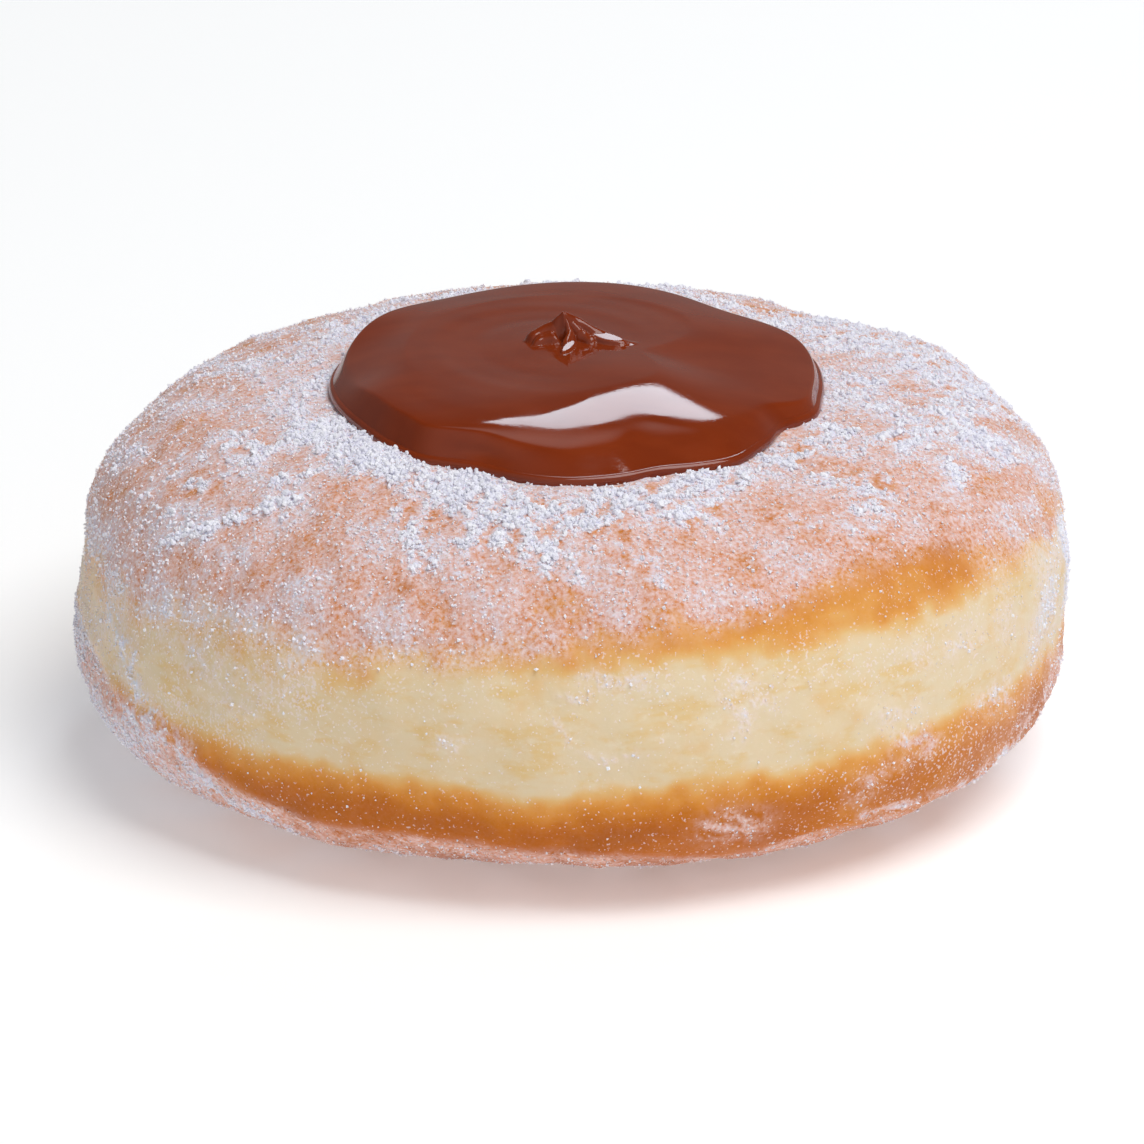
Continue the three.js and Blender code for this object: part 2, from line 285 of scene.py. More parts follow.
def waves(points, size, seed, count=32):
    """A soft random field over points, about one in height, with swells of one size."""
    rng = np.random.default_rng(seed)
    direction = rng.normal(size=(count, 3))
    direction /= np.linalg.norm(direction, axis=1)[:, None]
    length = size * rng.uniform(0.7, 1.4, count)
    phase = rng.uniform(0, 2 * np.pi, count)
    turns = points.reshape(-1, 3) @ (direction / length[:, None]).T * 2 * np.pi
    field = np.cos(turns + phase).sum(axis=1) * np.sqrt(2 / count)
    return field.reshape(points.shape[:-1])


def unevenness(points, kinds, flatter=1):
    """Random fields of several sizes on top of each other, flattened if need be."""
    stretched = points * (1, 1, flatter)
    return sum(height * waves(stretched, size, seed) for height, size, seed in kinds)


def new_object(name, points, faces, smooth=True):
    """A mesh object from points in millimetres."""
    mesh = bpy.data.meshes.new(name)
    mesh.from_pydata(points.reshape(-1, 3) * MM, [], faces)
    mesh.polygons.foreach_set("use_smooth", np.full(len(faces), smooth))
    mesh.update()
    made = bpy.data.objects.new(name, mesh)
    bpy.context.scene.collection.objects.link(made)
    return made


def set_attribute(piece, name, values):
    made = piece.data.attributes.new(name, "FLOAT", "POINT")
    made.data.foreach_set("value", values.astype(np.float32).ravel())


def smoothed_solid(node):
    """A CAD solid, subdivided smooth, as a tree that rays can be cast at."""
    shape = bmesh.new()
    shape.from_mesh(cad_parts[node].data)
    bmesh.ops.remove_doubles(shape, verts=shape.verts, dist=0.001 * MM)
    bmesh.ops.join_triangles(
        shape,
        faces=shape.faces,
        angle_face_threshold=math.pi,
        angle_shape_threshold=math.pi,
    )
    mesh = bpy.data.meshes.new(node + "_smooth")
    shape.to_mesh(mesh)
    shape.free()
    copy = bpy.data.objects.new(node + "_smooth", mesh)
    bpy.context.scene.collection.objects.link(copy)
    copy.modifiers.new("smooth", "SUBSURF").levels = 2
    bpy.context.view_layer.update()
    tree = BVHTree.FromObject(copy, bpy.context.evaluated_depsgraph_get())
    bpy.data.objects.remove(copy)
    bpy.data.meshes.remove(mesh)
    return tree


def cast(tree, start, direction):
    """Where a ray meets the solid, in millimetres."""
    place = tree.ray_cast(Vector(start) * MM, Vector(direction))[0]
    return np.array(place) / MM


def ray_direction(turn, elevation):
    """A direction from its turn and its elevation, both in radians."""
    flat = math.cos(elevation)
    return (math.cos(turn) * flat, math.sin(turn) * flat, math.sin(elevation))


def column_angles(columns):
    """The directions of a round grid's columns, in degrees."""
    return np.arange(columns) * 360 / columns - 180


def grid_faces(rows, columns):
    """Four-sided faces of a grid that closes round its columns."""
    row = np.arange(rows - 1)[:, None] * columns
    column = np.arange(columns)[None, :]
    following = (column + 1) % columns
    corners = [row + column, row + columns + column, row + columns + following, row + following]
    return np.stack(corners, axis=-1).reshape(-1, 4)


def grid_normals(points):
    """Directions out of a grid whose rows run down and whose columns run anticlockwise."""
    round_it = np.roll(points, -1, axis=1) - np.roll(points, 1, axis=1)
    down_it = np.gradient(points, axis=0)
    out = np.cross(down_it, round_it)
    return out / np.maximum(np.linalg.norm(out, axis=-1, keepdims=True), 1e-9)


def closed_piece(name, points, first_pole, last_pole):
    """A closed mesh object from a grid of points, with a pole beyond each end of its rows."""
    rows, columns = points.shape[:2]
    first, last = rows * columns, rows * columns + 1
    column = np.arange(columns)
    following = (column + 1) % columns
    edge = (rows - 1) * columns
    start_fan = np.stack([np.full(columns, first), column, following], axis=-1)
    end_fan = np.stack([np.full(columns, last), edge + following, edge + column], axis=-1)
    faces = grid_faces(rows, columns).tolist() + start_fan.tolist() + end_fan.tolist()
    return new_object(name, np.concatenate([points.reshape(-1, 3), [first_pole, last_pole]]), faces)


# ---------------------------------------------------------------- the bun


def bun_rows():
    stretches = [np.arange(start, end, step) for start, end, step in BUN_ROWS]
    return np.concatenate(stretches)[1:]


def bun_grid(tree):
    """The CAD bun's surface as rows of points from the crown to the foot, with their runs."""
    centre = (0, 0, RAYS_LEVEL)
    elevations = np.radians(np.linspace(STEEPEST_RAY, -STEEPEST_RAY, PROFILE_RAYS))
    front = math.radians(FRONT)
    profile = np.array([cast(tree, centre, ray_direction(front, e)) for e in elevations])
    steps = np.linalg.norm(np.diff(profile, axis=0), axis=1)
    runs_found = np.concatenate([[0], np.cumsum(steps)])
    runs = bun_rows()
    runs = runs[runs < runs_found[-1] - LAST_ROW_ROOM]
    row_elevations = np.interp(runs, runs_found, elevations)
    angles = column_angles(BUN_COLUMNS)
    points = np.empty((len(runs), BUN_COLUMNS, 3))
    for column, turn in enumerate(np.radians(angles)):
        for row, elevation in enumerate(row_elevations):
            points[row, column] = cast(tree, centre, ray_direction(turn, elevation))
    return points, runs, angles


def belt_top(angle):
    turn = np.radians(angle - BELT_TOP_LEAN["direction"])
    return around(angle, BELT_TOP) + BELT_TOP_LEAN["height"] * np.cos(turn)


def sugar_marks():
    """The marks seen at the front, and scattered ones like them round the back."""
    rng = np.random.default_rng(BACK_SEED)
    nearest, furthest = BACK_RUNS
    marks = list(SUGAR_MARKS)
    for _ in range(BACK_MARKS):
        angle = rng.uniform(0, 180)
        run = nearest + (furthest - nearest) * rng.uniform() ** BACK_CROWDING
        turn = rng.uniform(-BACK_TURN, BACK_TURN)
        end = (angle + turn, run + rng.uniform(-BACK_FALL, BACK_FALL))
        marks.append(((angle, run), end, rng.uniform(*BACK_WIDTHS), rng.uniform(*BACK_AMOUNTS)))
    return marks


def mark_distance(angle, run, start, end):
    """The distance over the surface from a mark's line, in millimetres."""
    x = turn_between(angle, start[0]) * MM_PER_DEGREE
    y = run - start[1]
    end_x = turn_between(end[0], start[0]) * MM_PER_DEGREE
    end_y = end[1] - start[1]
    length_squared = max(end_x**2 + end_y**2, 1e-6)
    share = np.clip((x * end_x + y * end_y) / length_squared, 0, 1)
    return np.hypot(x - share * end_x, y - share * end_y)


def bun_browning(points, angle, above, below):
    """How brown the bun is, from the distances above the belt's top and below its bottom."""
    left = 0.5 - 0.5 * np.cos(np.radians(angle))
    fade = FADE_RIGHT + (FADE_LEFT - FADE_RIGHT) * left**1.5
    upper = UPPER_BROWN * smooth_step(above, -0.6 * fade, 0.6 * fade)
    upper += UPPER_DEEPER * smooth_step(above, *UPPER_DEEPENS)
    lower = LOWER_BROWN * smooth_step(below, *LOWER_STARTS)
    lower += around(angle, LOWER_DEEPER) * smooth_step(below, *LOWER_DEEPENS)
    patches = np.clip(unevenness(points, BROWN_PATCHES, flatter=2), 0, 0.05)
    return upper + lower + patches + unevenness(points, BROWN_MOTTLE)


def sugar_film(points, angle, above, below, ragged):
    """The film of sugar over the crusts, under the ridge and on the belt, without its marks."""
    on_crust = smooth_step(above - around(angle, BARE_STRIP), *TOP_STARTS)
    under = around(angle, RIDGE_LEVEL) + 0.3 * ragged - points[..., 2]
    from_side = turn_between(2 * angle, 2 * SUGAR_SIDES["direction"]) / 2
    on_belt = SUGAR_SIDES["amount"] * hill(from_side, SUGAR_SIDES["reach"])
    on_belt += around(angle, SUGAR_RIGHT) * smooth_step(below, *RIGHT_STARTS)
    drifts = np.clip(0.85 + unevenness(points, BELT_DRIFTS), 0, 1.3)
    film = SUGAR_LEAST + around(angle, SUGAR_TOP) * on_crust
    film += around(angle, SUGAR_UNDER) * smooth_step(under, *UNDER_STARTS)
    return film + on_belt * drifts * (1 - on_crust)


def bun_sprinkle(angle, above, below):
    """How thickly single grains of sugar lie."""
    from_front = turn_between(angle, FRONT)
    at_left = smooth_step(from_front, *LEFT_TURNS)
    at_right = smooth_step(from_front, *RIGHT_TURNS)
    at_border = hill(above + BORDER_GRAINS["below"], BORDER_GRAINS["reach"])
    low_down = smooth_step(below, *LOW_STARTS)
    left = SPRINKLE["left"] * at_left * (1 - low_down)
    right = at_right * (SPRINKLE["right"] + SPRINKLE["low_right"] * low_down)
    return SPRINKLE["all"] + SPRINKLE["border"] * at_border + left + right


def bun_fields(points, runs, angles):
    """How brown, how sugared and how sprinkled the bun is at each point of its grid."""
    angle = np.broadcast_to(angles[None, :], points.shape[:2])
    run = np.broadcast_to(runs[:, None], points.shape[:2])
    level = points[..., 2]
    ragged = unevenness(points, RAGGED_BORDERS)
    above = level - belt_top(angle) + ragged
    below = around(angle, BELT_BOTTOM) - level + 0.5 * ragged
    soft = np.clip(unevenness(points, SOFT_DRIFTS), -1.5, 1.5)
    crumbs = unevenness(points, CRUMBS)
    sugar = sugar_film(points, angle, above, below, ragged) * (1 + 0.2 * soft + 0.12 * crumbs)
    marks = sum(
        amount * hill(mark_distance(angle, run, start, end), width)
        for start, end, width, amount in sugar_marks()
    )
    sugar += np.minimum(marks, MOST_IN_MARKS) * np.clip(0.7 + 0.6 * crumbs, 0, 1.3)
    sugar += around(angle, SUGAR_BY_CREAM) * smooth_step(run, *BY_CREAM_STARTS)
    browning = bun_browning(points, angle, above, below)
    sprinkle = bun_sprinkle(angle, above, below) * (1 + 0.25 * soft)
    return [np.clip(field, 0, 1) for field in (browning, sugar, sprinkle)]


def bun_relief(points, angles, browning, sugar):
    """How far the surface stands out of the CAD's, in millimetres."""
    angle = np.broadcast_to(angles[None, :], points.shape[:2])
    level = points[..., 2]
    crust = smooth_step(browning, *CRUST_BROWNING)
    crusts = crust * (CRUST_STEP + unevenness(points, CRUST_PUCKERS))
    belt = (1 - crust) * unevenness(points, BELT_FOLDS, flatter=2.2)
    over_ridge = level - around(angle, RIDGE_LEVEL) + unevenness(points, RIDGE_WANDER)
    bead = RIDGE_BEAD["height"] * hill(over_ridge, RIDGE_BEAD["reach"])
    groove = RIDGE_GROOVE["depth"] * hill(over_ridge + RIDGE_GROOVE["below"], RIDGE_GROOVE["reach"])
    cake = np.clip(sugar - CAKED_FROM, 0, 1) * (CAKED_HEIGHT + unevenness(points, CAKED_LUMPS))
    relief = unevenness(points, BUN_SWELLS) + crusts + belt + bead - groove + cake
    return relief * smooth_step(level, *FOOT_LEVELS)


def bun_piece(tree):
    points, runs, angles = bun_grid(tree)
    browning, sugar, sprinkle = bun_fields(points, runs, angles)
    relief = bun_relief(points, angles, browning, sugar)
    points = points + grid_normals(points) * relief[..., None]
    points[..., 2] = np.maximum(points[..., 2], 0)
    piece = closed_piece("fried_bun", points, points[0].mean(axis=0), points[-1].mean(axis=0))
    for name, field in (("browning", browning), ("sugar", sugar), ("sprinkle", sprinkle)):
        set_attribute(piece, name, np.concatenate([field.ravel(), field[0, :1], field[-1, :1]]))
    return piece, points, sugar, sprinkle


# ---------------------------------------------------------------- the pool of cream

# The pool's grid, its thickness, the bead of its rim and how far its foot sinks into the
# bun, in millimetres, and how far off the rays start that find where it lies.
POOL_CENTRE = (0.5, -2.6)
PEAK_CENTRE = (-0.85, -0.6)
POOL_COLUMNS = 480
POOL_THICKNESS = 3.8
POOL_TOP_RINGS = 165
RINGS_CROWDING = 0.12
RIM_LEVEL = 1.1
RIM_BEAD = 0.42
RIM_RINGS = 22
FOOT_SINK = 0.25
BASE_SINK = 1
RAYS_FROM = 60

# How the top falls to the rim: how round the fall is, how far it goes, how far in it
# starts, gently at the front right, and the reach in degrees over which the outline is
# smoothed for it.
SLOPE_POWER = (1.24, [(-115, 1.3, 22), (-143, 1.6, 16)])
SLOPE_MOST = 1.15
SLOPE_RUN = (7.1, [(-67, 3.3, 37), (-112, 2.2, 22)])
SLOPE_RIGHT = {"direction": -17, "length": 7.0, "reach_back": 42, "reach_front": 24}
OUTLINE_BLUR = 40

# Swellings of the top: their places, heights and reaches. They, the dish and the peak set
# in over the first millimetres in from the rim.
SWELLINGS = [(3.7, -9.2, 0.54, 6.5), (-14, -15, -0.3, 6), (-3.2, -17.3, -0.08, 3.8)]
TOP_SETS_IN = (0, 4)

# The low wall over the bead of the rim, how steep it is and how sharp its top edge is:
# crisp and tall at the front left, and no more than a soft roll elsewhere.
WALL_HEIGHT = (0.4, [
    (-133, 1.3, 22), (-157, 0.5, 11), (-65, 0.5, 62), (90, 2.0, 60), (150, 1.5, 19), (26, 0.5, 16),
])
WALL_STEEPNESS = (0.5, [
    (-135, 1.8, 28), (-158, 0.6, 12), (-2, 2.0, 28), (90, 1.2, 60), (155, 1.5, 20),
])
WALL_EDGE = 7
WALL_HOLLOW = (0, [(-114, 0.28, 8)])
HOLLOW_HEIGHT = 1.4
HOLLOW_REACH_UP = 0.6

# The dish round the peak and the swirl in it, which is calm at the front right.
DISH = {"depth": 0.4, "reach": 11}
SWIRL = {"pitch": 8, "height": 0.036, "fine_height": 0.008}
SWIRL_STARTS = (2, 7)
SWIRL_ENDS = (19, 11)
SWIRL_CALM = {"direction": -45, "reach": 60}

# The folds of the pulled peak: from and to (x, y, height) round its tip, and their widths.
# They wave to the side a little, as (width, waving, start).
PEAK_FOLDS = [
    ((0, 0, 2.5), (-0.9, 0.1, 1.5), 0.7),
    ((-0.9, 0.1, 1.5), (-2.4, -0.1, 0.95), 0.9),
    ((-1.0, -0.7, 0.9), (-2.0, -0.8, 0.75), 0.9),
    ((0.1, -0.15, 2.3), (0.45, -0.9, 1.15), 0.5),
    ((0.45, -0.9, 1.15), (0.5, -2.2, 0.3), 0.5),
    ((0.8, -0.1, 1.8), (1.5, -0.7, 1.0), 0.6),
    ((1.4, -0.6, 1.05), (2.2, -0.9, 0.65), 0.7),
    ((0.25, 0.15, 2.4), (2.8, 0.1, 1.15), 0.75),
    ((2.8, 0.1, 1.15), (5.6, -0.6, 0.12), 0.7),
]
FOLD_ROUNDNESS = 0.6
FOLD_WAVE_X = (0.16, 2.6, 0.8)
FOLD_WAVE_Y = (0.18, 2.1, 1.9)
PEAK_CONE = {"height": 1.1, "radius": 1.4}
PEAK_SKIRT = {"height": 0.35, "reach": 3.4}
PEAK_DENT = {"x": -0.25, "y": -0.8, "depth": 1.0, "reach": 0.4}

# Flat shelves on the peak: the middle (x, y, height), half the length and width, the turn,
# and how much the shelf rises to the right and to the back.
PEAK_SHELVES = [
    ((3.85, -0.95, 0.62), 1.75, 0.72, -18, (-0.027, 0.235)),
    ((0.45, -2.75, 0.3), 1.3, 0.45, 66, (-0.122, 0.159)),
]
SHELF_SQUARENESS = 14


def pool_outline(tree):
    """The radius of the CAD pool's outline in each direction from its centre."""
    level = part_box("chocolate_topping")[0].z / MM + RIM_LEVEL
    radii = []
    for turn in np.radians(column_angles(POOL_COLUMNS)):
        outward = np.array([math.cos(turn), math.sin(turn), 0])
        start = np.array([*POOL_CENTRE, level]) + RAYS_FROM * outward
        place = cast(tree, start, -outward)
        radii.append(math.hypot(place[0] - POOL_CENTRE[0], place[1] - POOL_CENTRE[1]))
    return np.array(radii)


def slope_run(angle):
    """How far in from the pool's outline its top begins to fall."""
    past_right = turn_between(angle, SLOPE_RIGHT["direction"])
    reach = np.where(past_right > 0, SLOPE_RIGHT["reach_back"], SLOPE_RIGHT["reach_front"])
    return around(angle, SLOPE_RUN) + SLOPE_RIGHT["length"] * hill(past_right, reach)


def pool_climb(x, y, inward, outward, angles):
    """The height of the pool's top over its rim.

    The top falls from the start of its slope to a low wall at its rim, and `inward` is
    the distance in from the rim, `outward` the distance out from the slope's start."""
    full = POOL_THICKNESS - 2 * RIM_BEAD
    fall = np.clip(outward / slope_run(angles), 0, SLOPE_MOST) ** around(angles, SLOPE_POWER)
    slope = full - (full - around(angles, WALL_HEIGHT)) * fall
    wall = around(angles, WALL_STEEPNESS) * np.maximum(inward, 0)
    joined = -np.log(np.exp(-WALL_EDGE * slope) + np.exp(-WALL_EDGE * wall)) / WALL_EDGE
    swelling = sum(
        height * hill(np.hypot(x - place_x, y - place_y), reach)
        for place_x, place_y, height, reach in SWELLINGS
    )
    return joined + smooth_step(inward, *TOP_SETS_IN) * (pool_top(x, y) + swelling)


def fold(x, y, start, end, width):
    """The height of a rounded fold of cream that runs from one point to another."""
    along = np.subtract(end, start)
    share = ((x - start[0]) * along[0] + (y - start[1]) * along[1]) / (along[0] ** 2 + along[1] ** 2)
    share = np.clip(share, 0, 1)
    away = np.hypot(x - start[0] - share * along[0], y - start[1] - share * along[1])
    return (start[2] + share * along[2]) * np.clip(1 - (away / width) ** 2, 0, 1) ** FOLD_ROUNDNESS


def fold_wave(along, width, waving, start):
    """How far a fold waves to the side, at a place along it."""
    return width * np.sin(waving * along + start)


def shelf(x, y, middle, half_length, half_width, turn, rise):
    """The height of a small flat shelf, tilted forwards, with steep round edges."""
    dx, dy = x - middle[0], y - middle[1]
    along = dx * math.cos(math.radians(turn)) + dy * math.sin(math.radians(turn))
    across = dy * math.cos(math.radians(turn)) - dx * math.sin(math.radians(turn))
    away = np.hypot(along / half_length, across / half_width)
    height = middle[2] + rise[0] * dx + rise[1] * dy
    return height * np.clip(1 - away**SHELF_SQUARENESS, 0, 1) ** 0.5


def peak(dx, dy):
    """The pulled peak, from the distances to the right and to the back of its tip."""
    away = np.hypot(dx, dy)
    bent_x = dx + fold_wave(dy, *FOLD_WAVE_X)
    bent_y = dy + fold_wave(dx, *FOLD_WAVE_Y)
    height = PEAK_CONE["height"] * np.clip(1 - away / PEAK_CONE["radius"], 0, 1)
    for start, end, width in PEAK_FOLDS:
        height = np.maximum(height, fold(bent_x, bent_y, start, end, width))
    for shape in PEAK_SHELVES:
        height = np.maximum(height, shelf(dx, dy, *shape))
    skirt = PEAK_SKIRT["height"] * hill(away, PEAK_SKIRT["reach"])
    from_dent = np.hypot(dx - PEAK_DENT["x"], dy - PEAK_DENT["y"])
    return height + skirt - PEAK_DENT["depth"] * hill(from_dent, PEAK_DENT["reach"])


def pool_top(x, y):
    """The dish, swirl and peak on the pool's top."""
    dx, dy = x - PEAK_CENTRE[0], y - PEAK_CENTRE[1]
    away = np.hypot(dx, dy)
    turn = np.arctan2(dy, dx)
    dish = DISH["depth"] * hill(away, DISH["reach"])
    phase = 2 * np.pi * away / SWIRL["pitch"] - turn + 0.5 * np.sin(2 * turn)
    arms = SWIRL["height"] * np.cos(phase) + SWIRL["fine_height"] * np.cos(3 * phase + 1)
    from_calm = turn_between(np.degrees(turn), SWIRL_CALM["direction"])
    arms *= 1 - hill(from_calm, SWIRL_CALM["reach"])
    swirl = arms * smooth_step(away, *SWIRL_STARTS) * smooth_step(away, *SWIRL_ENDS)
    return swirl - dish + peak(dx, dy)


def smoothed_round(values, reach):
    """Values round a circle, smoothed over a reach in degrees."""
    spots = np.arange(len(values)) * 360 / len(values)
    weights = hill(turn_between(spots, 0), reach)
    smooth = np.fft.ifft(np.fft.fft(values) * np.fft.fft(weights / weights.sum()))
    return smooth.real


def pool_grid(radii, crown_height):
    """The pool's top in rings out to its rim, then the rim curling under to its foot."""
    angles = column_angles(POOL_COLUMNS)
    turn = np.radians(angles)
    even_share = np.linspace(0, 1, POOL_TOP_RINGS + 1)[1:, None]
    top_share = even_share - RINGS_CROWDING * np.sin(2 * np.pi * even_share)
    bead = np.linspace(0, np.pi, RIM_RINGS + 1)[1:, None]
    inward_top = radii - (radii - RIM_BEAD) * top_share
    inward_rim = RIM_BEAD * (1 - np.sin(bead)) + 0 * radii
    inward = np.concatenate([inward_top, inward_rim])
    share = 1 - inward / radii
    middle_x = PEAK_CENTRE[0] + (POOL_CENTRE[0] - PEAK_CENTRE[0]) * share
    middle_y = PEAK_CENTRE[1] + (POOL_CENTRE[1] - PEAK_CENTRE[1]) * share
    x = middle_x + share * radii * np.cos(turn)
    y = middle_y + share * radii * np.sin(turn)
    outward = share * radii - smoothed_round(radii, OUTLINE_BLUR) + slope_run(angles)
    height = 2 * RIM_BEAD + pool_climb(x, y, inward - RIM_BEAD, outward, angles)
    sinking = RIM_BEAD * (1 - np.cos(bead)) * (1 + FOOT_SINK / RIM_BEAD / 2)
    z = crown_height(x, y) + height
    z[POOL_TOP_RINGS:] = z[POOL_TOP_RINGS - 1] - sinking
    height[POOL_TOP_RINGS:] = height[POOL_TOP_RINGS - 1] - sinking
    pull = around(angles, WALL_HOLLOW) * hill(height - HOLLOW_HEIGHT, HOLLOW_REACH_UP)
    return np.stack([x - pull * np.cos(turn), y - pull * np.sin(turn), z], axis=-1)


def pool_piece(tree, bun_tree):
    radii = pool_outline(tree)
    crown_height = np.vectorize(lambda x, y: cast(bun_tree, (x, y, RAYS_FROM), (0, 0, -1))[2])
    points = pool_grid(radii, crown_height)
    base = np.array([*POOL_CENTRE, points[..., 2].min() - BASE_SINK])
    return closed_piece("chocolate_pool", points, points[0].mean(axis=0), base), radii


# ---------------------------------------------------------------- the sugar

# The grains of each kind: how many, the smallest and the largest in millimetres, the seed.
DUST = {"count": 48000, "sizes": (0.14, 0.26), "seed": 31}
GRAINS = {"count": 24000, "sizes": (0.2, 0.4), "seed": 32}
LUMPS = {"count": 5600, "sizes": (0.24, 0.6), "seed": 33}

# How each grain differs from a round one, and how far its middle stands out of the bun, as
# a share of its size.
GRAIN_STRETCH = (0.7, 1.25)
GRAIN_ROUGHNESS = 0.18
GRAIN_RISE = (-0.05, 0.4)
GRAIN_LOWEST = 0.02

# Where grains may lie: clear of the cream, which stays over one level, and off the floor.
CREAM_EDGE = 0.2
CREAM_LOWEST = 25
SUGAR_LOWEST = 0.3

# How thickly each kind lies. Lumps need a thick film and a high level, and fewer of them
# lie behind than in front.
DUST_IN_SPRINKLE = 0.1
GRAINS_LEAST = 0.003
GRAINS_CROWDING = 2.4
LUMPS_FROM = 0.64
LUMPS_CROWDING = 1.4
LUMPS_LEVELS = (23, 28)
LUMPS_BEHIND = 0.3
LUMPS_FORWARD = (12, -6)

TETRAHEDRON = (
    np.array([[1, 1, 1], [1, -1, -1], [-1, 1, -1], [-1, -1, 1]]) / math.sqrt(3),
    np.array([[0, 1, 2], [0, 3, 1], [0, 2, 3], [1, 3, 2]]),
)
OCTAHEDRON = (
    np.array([[1, 0, 0], [-1, 0, 0], [0, 1, 0], [0, -1, 0], [0, 0, 1], [0, 0, -1]], float),
    np.array([[0, 2, 4], [2, 1, 4], [1, 3, 4], [3, 0, 4], [2, 0, 5], [1, 2, 5], [3, 1, 5], [0, 3, 5]]),
)


def icosahedron():
    shape = bmesh.new()
    bmesh.ops.create_icosphere(shape, subdivisions=1, radius=1)
    corners = np.array([vertex.co[:] for vertex in shape.verts])
    faces = np.array([[vertex.index for vertex in face.verts] for face in shape.faces])
    shape.free()
    return corners, faces


def scattered(points, weight, count, rng):
    """Places and outward directions on a grid, drawn by weight for each area of it."""
    a, b = points[:-1], points[1:]
    c, d = np.roll(b, -1, axis=1), np.roll(a, -1, axis=1)
    normal = np.cross(b - a, d - a)
    area = np.linalg.norm(normal, axis=-1)
    chance = (area * weight[:-1]).ravel()
    cell = rng.choice(chance.size, size=count, p=chance / chance.sum())
    u, v = rng.uniform(size=(2, count, 1))
    corner = [part.reshape(-1, 3)[cell] for part in (a, b, c, d)]
    place = (1 - u) * ((1 - v) * corner[0] + v * corner[3]) + u * ((1 - v) * corner[1] + v * corner[2])
    out = (normal / np.maximum(area, 1e-9)[..., None]).reshape(-1, 3)[cell]
    return place, out


def random_turns(count, rng):
    """Random rotations, as matrices."""
    q = rng.normal(size=(count, 4))
    w, x, y, z = (q / np.linalg.norm(q, axis=1)[:, None]).T
    return np.stack([
        np.stack([1 - 2 * (y * y + z * z), 2 * (x * y - w * z), 2 * (x * z + w * y)], -1),
        np.stack([2 * (x * y + w * z), 1 - 2 * (x * x + z * z), 2 * (y * z - w * x)], -1),
        np.stack([2 * (x * z - w * y), 2 * (y * z + w * x), 1 - 2 * (x * x + y * y)], -1),
    ], 1)


def sugar_piece(name, shape, points, weight, count, sizes, seed):
    """Many separate grains of one kind, joined as one mesh."""
    rng = np.random.default_rng(seed)
    place, out = scattered(points, weight, count, rng)
    corners, faces = shape
    low, high = sizes
    size = low + (high - low) * rng.uniform(size=count) ** 2
    stretch = size[:, None] / 2 * rng.uniform(*GRAIN_STRETCH, size=(count, 3))
    rough = corners[None] * (1 + GRAIN_ROUGHNESS * rng.normal(size=(count, len(corners), 1)))
    grains = np.einsum("nij,nkj->nki", random_turns(count, rng), rough * stretch[:, None])
    rise = size * rng.uniform(*GRAIN_RISE, count)
    grains += (place + out * rise[:, None])[:, None]
    grains[..., 2] = np.maximum(grains[..., 2], GRAIN_LOWEST)
    offsets = np.arange(count)[:, None, None] * len(corners)
    return new_object(name, grains, (faces[None] + offsets).reshape(-1, 3).tolist(), smooth=False)


def sugar_pieces(points, sugar, sprinkle, radii):
    """Dust lies wherever there is sugar, grains where it is thicker, and lumps on its
    thickest drifts over the crown, fewer of them at the back."""
    dx, dy = points[..., 0] - POOL_CENTRE[0], points[..., 1] - POOL_CENTRE[1]
    level = points[..., 2]
    turn = np.degrees(np.arctan2(dy, dx))
    outline = np.interp(turn, column_angles(POOL_COLUMNS), radii, period=360)
    open_to_air = (np.hypot(dx, dy) > outline - CREAM_EDGE) | (level < CREAM_LOWEST)
    bare = open_to_air * (level > SUGAR_LOWEST)
    dust = bare * (DUST_IN_SPRINKLE * sprinkle + sugar)
    grains = bare * (GRAINS_LEAST + sugar**GRAINS_CROWDING)
    forward = LUMPS_BEHIND + (1 - LUMPS_BEHIND) * smooth_step(points[..., 1], *LUMPS_FORWARD)
    lumps = bare * np.clip(sugar - LUMPS_FROM, 0, 1) ** LUMPS_CROWDING
    lumps = lumps * smooth_step(level, *LUMPS_LEVELS) * forward
    return [
        sugar_piece("sugar_dust", TETRAHEDRON, points, dust, **DUST),
        sugar_piece("sugar_grains", OCTAHEDRON, points, grains, **GRAINS),
        sugar_piece("sugar_lumps", icosahedron(), points, lumps, **LUMPS),
    ]


# ---------------------------------------------------------------- colours

# From the pale belt to the brownest crust.
CRUST_COLOURS = [
    (0.0, (229, 209, 174)),
    (0.08, (230, 206, 166)),
    (0.2, (230, 186, 120)),
    (0.33, (226, 158, 76)),
    (0.46, (215, 136, 44)),
    (0.6, (199, 114, 14)),
    (0.76, (188, 101, 6)),
    (1.0, (166, 84, 5)),
]
ROSY_CRUST = (212, 134, 86)

# The patches on the belt: their noise, where it counts from and to, how much, the colour.
BELT_PATCHES = [
    {
        "noise": {"size": 4.5, "detail": 3, "roughness": 0.6, "stretch": (1, 1, 2.4)},
        "range": (0.46, 0.68),
        "most": 1,
        "colour": (228, 196, 138),
    },
    {
        "noise": {"size": 1.6, "detail": 4, "roughness": 0.65, "stretch": (1, 1, 1.6)},
        "range": (0.52, 0.72),
        "most": 0.5,
        "colour": (236, 222, 198),
    },
]

# The film of sugar where it is thin and where it is thick, the most that it and single
# grains cover, and the sheen on it.
FILM_THIN = (242, 228, 231)
FILM_THICK = (232, 234, 248)
FILM_MOST = 0.95
SINGLE_GRAINS_MOST = 0.62
SHEEN = (226, 230, 250)

# The two tones of the cream, of the sugar's dust and of its larger grains.
CREAM_COLOURS = ((124, 46, 17), (132, 51, 20))
DUST_COLOURS = ((236, 222, 220), (246, 235, 232))
GRAIN_COLOURS = ((232, 232, 244), (246, 246, 252))

